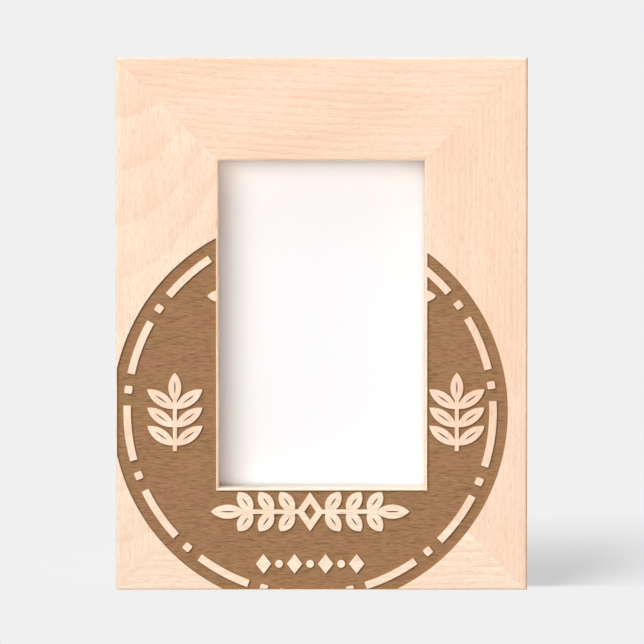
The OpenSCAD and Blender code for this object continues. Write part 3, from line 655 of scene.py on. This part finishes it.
# Grosgrain: ribs about 0.35 mm apart run across the ribbon, its thread is a soft black, and painted shade
# darkens the grooves between the ribs.
# The UV map is in millimetres, and the bands of a Wave texture of scale 0.5 are pi / 5 apart.
RIB_MM = 0.3456
THREAD_MM = 0.1759
BAND = math.pi / 5
THREAD_SHARE = 0.35
WEAVE_RELIEF_MM = 0.08
BLACK_THREAD = "#1B1B1E"
BLACK_LINT = "#303036"
RIB_GROOVE_SHADE = "#0C0C0E"
GROOVE_SHADE_SHARE = 0.55
material, tree = empty_material("black_grosgrain")
weave = add(tree, "UVMap", uv_map="weave")
ribs = add(tree, "Mapping", {"Vector": weave, "Scale": (BAND / RIB_MM, BAND / THREAD_MM, 1)})
rib = add(tree, "TexWave", {"Vector": ribs, "Scale": 0.5, "Distortion": 0.3, "Detail": 1.0})
thread = add(tree, "TexWave", {"Vector": ribs, "Scale": 0.5, "Distortion": 0.4}, bands_direction="Y")
relief = add(tree, "Math", {0: thread, 1: THREAD_SHARE, 2: rib}, operation="MULTIPLY_ADD")
lint = add(tree, "TexNoise", {"Vector": ribs, "Scale": 0.8, "Detail": 3.0})
# Painted shade: the grooves between the ribs are darker
painted_groove_shade = add(tree, "MapRange", {"Value": rib, **span((1.0, 0.0), GROOVE_SHADE_SHARE)})
colour = layered(tree, BLACK_THREAD, (BLACK_LINT, lint), (RIB_GROOVE_SHADE, painted_groove_shade))
finish(tree, colour, relief, WEAVE_RELIEF_MM, Roughness=0.7, Sheen_Weight=0.25, Sheen_Roughness=0.4)
ribbon_mesh.materials.append(material)
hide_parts("stay_ribbon")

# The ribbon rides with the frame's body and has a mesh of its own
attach(ribbon, "frame")
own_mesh(ribbon)

# Wall pads: four 8 mm discs of pressed dark felt, glued to the rear corners so that the hung frame stays off
# the wall. Their edges are soft and their faces slightly domed and fuzzy.
PAD_R = 4.0
PAD_T = 1.2
PAD_INSET = 7.5
PAD_ROUND = 0.4
PAD_CROWN = 0.06
PAD_SIDES = 48
ROUND_STEPS = 5
RADIUS_STEPS = 12
FUZZ_MM = 0.07
FUZZ_PER_MM = 2.2
pad_profile = [(PAD_R, 0.0), (PAD_R, (PAD_T - PAD_ROUND) / 2)]
for step in range(ROUND_STEPS + 1):
    turn = math.pi / 2 * step / ROUND_STEPS
    radius = PAD_R - PAD_ROUND * (1 - math.cos(turn))
    pad_profile.append((radius, PAD_T - PAD_ROUND * (1 - math.sin(turn))))
for step in range(1, RADIUS_STEPS + 1):
    out_share = 1 - step / RADIUS_STEPS
    pad_profile.append(((PAD_R - PAD_ROUND) * out_share, PAD_T + PAD_CROWN * (1 - out_share ** 2)))

shape = bmesh.new()
for side in (-1, 1):
    for height in (PAD_INSET, OUTER_H - PAD_INSET):
        pad_centre = Vector((side * (OUTER_W / 2 - PAD_INSET), BACK_Y, LOWER_Z + height))
        last = bmesh.ops.create_vert(shape, co=pad_centre)["vert"][0]
        profile = [last]
        for radius, off_wood in pad_profile:
            grown = bmesh.ops.extrude_vert_indiv(shape, verts=[last])
            last = grown["verts"][0]
            last.co = pad_centre + Vector((radius, off_wood, 0))
            profile += [last, *grown["edges"]]
        bmesh.ops.spin(
            shape, geom=profile, cent=pad_centre, axis=(0, 1, 0), angle=2 * math.pi, steps=PAD_SIDES,
            use_merge=True,
        )
bmesh.ops.remove_doubles(shape, verts=shape.verts, dist=MERGE_MM)
bmesh.ops.recalc_face_normals(shape, faces=shape.faces)
shape.normal_update()
for vertex in shape.verts:
    if vertex.co.y - BACK_Y > FUZZ_MM:
        vertex.co += vertex.normal * FUZZ_MM * noise.noise(vertex.co * FUZZ_PER_MM)
    vertex.co = LEAN_BACK @ vertex.co * MM
pads_mesh = bpy.data.meshes.new("felt_wall_pads")
shape.to_mesh(pads_mesh)
shape.free()
for face in pads_mesh.polygons:
    face.use_smooth = True
pads = bpy.data.objects.new("felt_wall_pads", pads_mesh)
bpy.context.scene.collection.objects.link(pads)

# Pressed wool felt: matted fibres in every direction, which scatter light at the rim
FELT = "#3A3634"
FELT_PALE = "#5C5652"
FELT_MM = 0.5
FELT_RELIEF_MM = 0.15
material, tree = empty_material("pressed_wool_felt")
place = flat_place(tree, LEAN, (0, BACK_Y, LOWER_Z))
matted = add(tree, "TexNoise", {"Vector": place, "Scale": 1 / FELT_MM, "Detail": 6.0, "Distortion": 1.5})
colour = add(tree, "Mix", {0: matted, 6: linear(FELT), 7: linear(FELT_PALE)}, out=2, data_type="RGBA")
finish(tree, colour, matted, FELT_RELIEF_MM, Roughness=0.95, Sheen_Weight=0.4, Specular_IOR_Level=0.1)
pads_mesh.materials.append(material)
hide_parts("wall_pads")
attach(pads, "frame")

# Floor and background: seamless pale paper of one tone. Where the lamp above reaches the floor, it and the
# paper's own glow make up that tone together, and in the frame's shadow the glow is left.
BACKDROP = "#F0F0F0"
FLOOR_HALF = 6.0
FLOOR_GLOW = 0.585
FLOOR_WHITE = 0.1
GLOW_FADE = 0.003
FLOOR_LAMP_FROM = Vector((-0.31, -0.015, 0.95)).normalized()


def share_seen(tree):
    """1 where the camera sees a thing, straight on or in metal and glass, and 0 where it would light the
    frame."""
    seen = add(tree, "LightPath", out="Is Camera Ray")
    for name in ("Is Glossy Ray", "Is Transmission Ray"):
        seen = add(tree, "Math", {0: seen, 1: add(tree, "LightPath", out=name)}, operation="MAXIMUM")
    return seen


shape = bmesh.new()
bmesh.ops.create_grid(shape, x_segments=1, y_segments=1, size=FLOOR_HALF)
floor_mesh = bpy.data.meshes.new("paper_floor")
shape.to_mesh(floor_mesh)
shape.free()
floor_piece = bpy.data.objects.new("paper_floor", floor_mesh)
bpy.context.scene.collection.objects.link(floor_piece)
floor_piece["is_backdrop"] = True

# In front of the line that the frame stands on, the paper's glow is the whole tone, so no shadow falls there
rail_corners = [v.co.copy() for v in frame["nodes"]["bottom_rail"].data.vertices]
stands_on = min(rail_corners, key=lambda point: point.z)
edge_of_glow = (stands_on.y - GLOW_FADE, stands_on.y + GLOW_FADE)
tone = linear(BACKDROP)[0]
material, tree = empty_material("seamless_backdrop_paper")
at = add(tree, "TexCoord", out="Object")
behind = add(tree, "SeparateXYZ", {0: at}, out="Y")
behind = add(tree, "MapRange", {"Value": behind, **span(edge_of_glow)}, interpolation_type="SMOOTHSTEP")
glow = add(tree, "MapRange", {"Value": behind, "To Min": tone, "To Max": FLOOR_GLOW})
glow = add(tree, "Math", {0: glow, 1: share_seen(tree)}, operation="MULTIPLY")
glow = add(tree, "Emission", {"Strength": glow})
white = add(tree, "MapRange", {"Value": behind, "To Min": 0.0, "To Max": FLOOR_WHITE})
lit = add(tree, "BsdfDiffuse", {"Color": white})
both = add(tree, "AddShader", {0: glow, 1: lit})
add(tree, "OutputMaterial", {"Surface": both})
floor_mesh.materials.append(material)

world = bpy.data.worlds.new("pale_room")
bpy.context.scene.world = world
world.use_nodes = True
tree = world.node_tree
tree.nodes.clear()
room = add(tree, "Background", {"Color": linear(BACKDROP), "Strength": share_seen(tree)})
add(tree, "OutputWorld", {"Surface": room})

# Lamps: far soft suns. Six light only the frame: the key from the front left, two cooler ones from above,
# two from in front and below like light off the table, and one from behind. The seventh, above on the left,
# lights only the floor and draws the shadow.
KEY_TINT = (0.94, 1.0, 1.01)
COOL = (0.95, 1.0, 1.2)
LOW_TINT = (1.3, 1.0, 0.87)
WARM = (1.07, 1.0, 0.99)
EVEN = (1.0, 1.0, 1.0)
frame_only = bpy.data.collections.new("frame_only")
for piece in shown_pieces():
    frame_only.objects.link(piece)
floor_only = bpy.data.collections.new("floor_only")
floor_only.objects.link(floor_piece)


def soft_sun(name, source, strength, degrees, tint, lights):
    """A soft lamp, far off in the direction of its source, that lights one collection."""
    lamp = bpy.data.lights.new(name, "SUN")
    lamp.energy = strength
    lamp.angle = math.radians(degrees)
    lamp.color = tint
    held = bpy.data.objects.new(name, lamp)
    held.rotation_mode = "QUATERNION"
    held.rotation_quaternion = source.to_track_quat("Z", "Y")
    bpy.context.scene.collection.objects.link(held)
    held.light_linking.receiver_collection = lights
    return held


# The floor doesn't shade the two from below, and nothing mirrors the low fill
for name, source, strength, degrees, tint in (
    ("key", (-0.5, -0.83, 0.26), 2.03, 44, KEY_TINT),
    ("edge_light", (-0.6, -0.3, 0.74), 0.68, 40, COOL),
    ("top_light", (-0.1, -0.05, 1), 1.55, 60, COOL),
    ("low_fill", (0, -0.99, -0.12), 0.65, 60, LOW_TINT),
    ("table_bounce", (0.3, -0.5, -0.8), 4.5, 100, WARM),
    ("rear_glow", (0, 0.98, -0.1), 3.6, 110, WARM),
):
    held = soft_sun(name, LEAN_BACK @ Vector(source), strength, degrees, tint, frame_only)
    if name in ("low_fill", "table_bounce"):
        held.light_linking.blocker_collection = frame_only
    held.visible_glossy = name != "low_fill"
floor_lamp_strength = (tone - FLOOR_GLOW) * math.pi / (FLOOR_WHITE * FLOOR_LAMP_FROM.z)
soft_sun("floor_lamp", FLOOR_LAMP_FROM, floor_lamp_strength, degrees=20, tint=EVEN, lights=floor_only)

# Camera: a long lens a little above the face's normal, so that the frame's sides run parallel. The aim is
# the point of the face at the middle of the picture.
PICTURE = 644
PX_PER_MM = 2.315
FRAME_MIDDLE_PX = 321.65
FRAME_BOTTOM_PX = 590.7
ABOVE_NORMAL = math.radians(3)
DISTANCE = 2.75
SENSOR = 36.0
FAR_CLIP = 50
aim_x = (PICTURE / 2 - FRAME_MIDDLE_PX) / PX_PER_MM
aim_z = (FRAME_BOTTOM_PX - PICTURE / 2) / (PX_PER_MM * math.cos(ABOVE_NORMAL))
aim = LEAN_BACK @ Vector((aim_x, FACE_Y, LOWER_Z + aim_z)) * MM
tilt = LEAN + ABOVE_NORMAL
toward = Vector((0, -math.cos(tilt), math.sin(tilt)))
camera = bpy.data.cameras.new("camera")
camera.sensor_width = SENSOR
camera.lens = SENSOR * DISTANCE / (PICTURE / PX_PER_MM * MM)
camera.clip_end = FAR_CLIP
viewer = bpy.data.objects.new("camera", camera)
viewer.rotation_mode = "QUATERNION"
viewer.location = aim + toward * DISTANCE
viewer.rotation_quaternion = (-toward).to_track_quat("-Z", "Y")
bpy.context.scene.collection.objects.link(viewer)
bpy.context.scene.camera = viewer
bpy.context.scene.view_settings.view_transform = "Standard"
